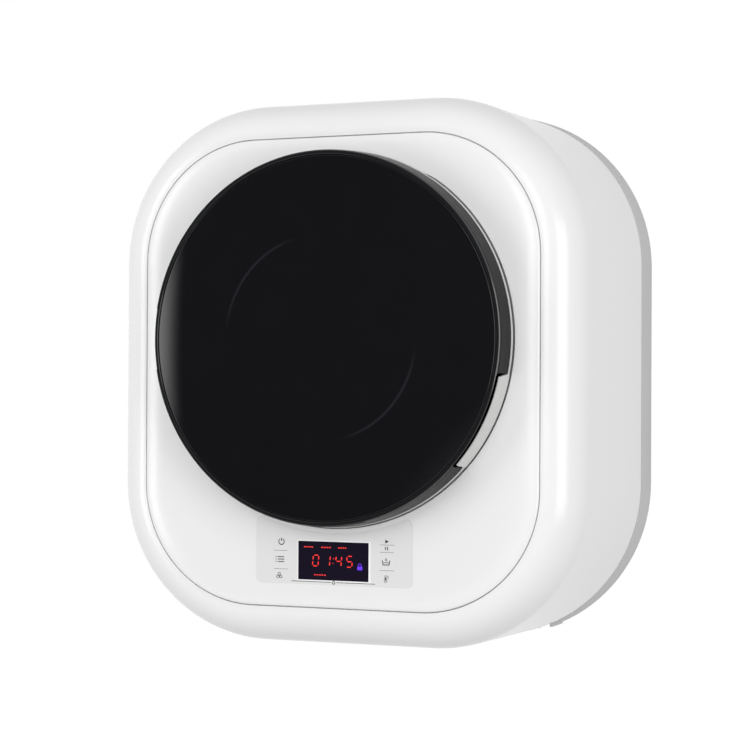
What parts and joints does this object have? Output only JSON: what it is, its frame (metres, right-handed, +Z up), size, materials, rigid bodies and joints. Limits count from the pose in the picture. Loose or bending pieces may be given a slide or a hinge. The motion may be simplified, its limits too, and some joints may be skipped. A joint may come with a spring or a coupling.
{
  "type": "wall mounted washing machine",
  "caption": "Compact front-loading washing machine that hangs on a wall: rounded white casing, round dark glass door with a finger recess, touch controls below.",
  "frame": {"origin": "centre of the four wall bolts, in the wall plane that the rubber cushions rest on", "axes": "+X to the right seen from the front, +Y into the wall, +Z up"},
  "size_m": [0.55, 0.323, 0.598],
  "materials": {
    "white_casing": "glossy moulded white ABS",
    "grey_casing": "matte moulded grey ABS",
    "overlay_film": "satin light grey film",
    "display_smoke": "glossy smoked acrylic",
    "circuit_board": "green solder mask",
    "controller_case": "cast, finned",
    "cushion_rubber": "moulded black rubber",
    "zinc_steel": "zinc plated steel",
    "tub_plastic": "white polypropylene",
    "seal_rubber": "moulded rubber",
    "gasket_rubber": "grey EPDM rubber",
    "bearing_steel": "ground steel",
    "heater_steel": "stainless tube",
    "black_plastic": "moulded black plastic",
    "dispenser_plastic": "white polypropylene",
    "cup_plastic": "pale blue polypropylene",
    "valve_plastic": "white nylon",
    "hose_white": "white hose",
    "hose_grey": "grey hose",
    "motor_paint": "dark painted steel",
    "rotor_steel": "turned steel",
    "belt_rubber": "ribbed belt",
    "drum_steel": "perforated stainless sheet",
    "cast_alloy": "sand cast",
    "lifter_plastic": "white polypropylene",
    "dark_ring": "dark grey moulded ring",
    "smoked_glass": "dark printed glass",
    "frame_plastic": "light grey ABS",
    "clear_glass": "pressed clear glass",
    "handle_plastic": "light grey ABS"
  },
  "bodies": {
    "casing": {"rear_cabinet": "grey_casing", "front_housing": "white_casing", "front_panel": "white_casing", "control_overlay": "overlay_film", "display_window": "display_smoke", "control_board": "circuit_board", "motor_controller": "controller_case", "wall_cushions": "cushion_rubber", "mount_washers": "zinc_steel", "casing_screws": "zinc_steel", "tub_rear": "tub_plastic", "tub_front": "tub_plastic", "tub_seal_ring": "seal_rubber", "tub_screws": "zinc_steel", "tub_bolts": "zinc_steel", "door_gasket": "gasket_rubber", "gasket_clamp": "zinc_steel", "rear_bearing": "bearing_steel", "front_bearing": "bearing_steel", "shaft_seal": "seal_rubber", "heater": "heater_steel", "temperature_sensor": "black_plastic", "pressure_switch": "black_plastic", "pressure_tube": "seal_rubber", "dispenser_housing": "dispenser_plastic", "detergent_cup": "cup_plastic", "inlet_valve": "valve_plastic", "inlet_hose": "hose_white", "sump_hose": "hose_grey", "pump_housing": "black_plastic", "drain_hose": "hose_grey", "drain_spigot": "black_plastic", "door_lock": "black_plastic", "hinge_bracket": "zinc_steel", "motor_case": "motor_paint", "motor_bracket": "zinc_steel", "bracket_screws": "zinc_steel", "drive_belt": "belt_rubber"},
    "drum": {"drum_shell": "drum_steel", "drum_front_ring": "drum_steel", "drum_back_disc": "drum_steel", "drum_lifters": "lifter_plastic", "drum_spider": "cast_alloy", "drum_shaft": "rotor_steel", "drum_pulley": "cast_alloy"},
    "motor_rotor": {"motor_rotor": "rotor_steel", "motor_pulley": "rotor_steel"},
    "pump_rotor": {"pump_impeller": "valve_plastic"},
    "door": {"door_ring": "dark_ring", "door_glass": "smoked_glass", "door_inner_frame": "frame_plastic", "glass_bowl": "clear_glass", "bowl_clamp_ring": "frame_plastic", "handle_insert": "handle_plastic", "hinge_leaf": "zinc_steel", "hinge_pin": "zinc_steel", "latch_pin": "zinc_steel", "latch_spring": "zinc_steel"},
    "latch": {"latch_hook": "zinc_steel"}
  },
  "joints": [
    {"name": "drum_spin", "type": "hinge", "parent": "casing", "child": "drum", "pos_m": [0, -0.1, 0.035], "axis": [0, -1, 0], "continuous": true},
    {"name": "motor_spin", "type": "hinge", "parent": "casing", "child": "motor_rotor", "pos_m": [-0.11011, -0.08, -0.2219], "axis": [0, -1, 0], "continuous": true},
    {"name": "impeller_spin", "type": "hinge", "parent": "casing", "child": "pump_rotor", "pos_m": [0.11032, -0.1, -0.23806], "axis": [0, -1, 0], "continuous": true},
    {"name": "door_swing", "type": "hinge", "parent": "casing", "child": "door", "pos_m": [-0.188, -0.305, 0.035], "axis": [0, 0, -1], "range_deg": [0, 100]},
    {"name": "hook_turn", "type": "hinge", "parent": "door", "child": "latch", "pos_m": [0.176, -0.298, 0.035], "axis": [0, 0, 1], "range_deg": [0, 8], "stiffness_Nm_per_rad": 0.2}
  ],
  "couplings": [
    {"joint": "motor_spin", "follows": "drum_spin", "ratio": 10}
  ]
}
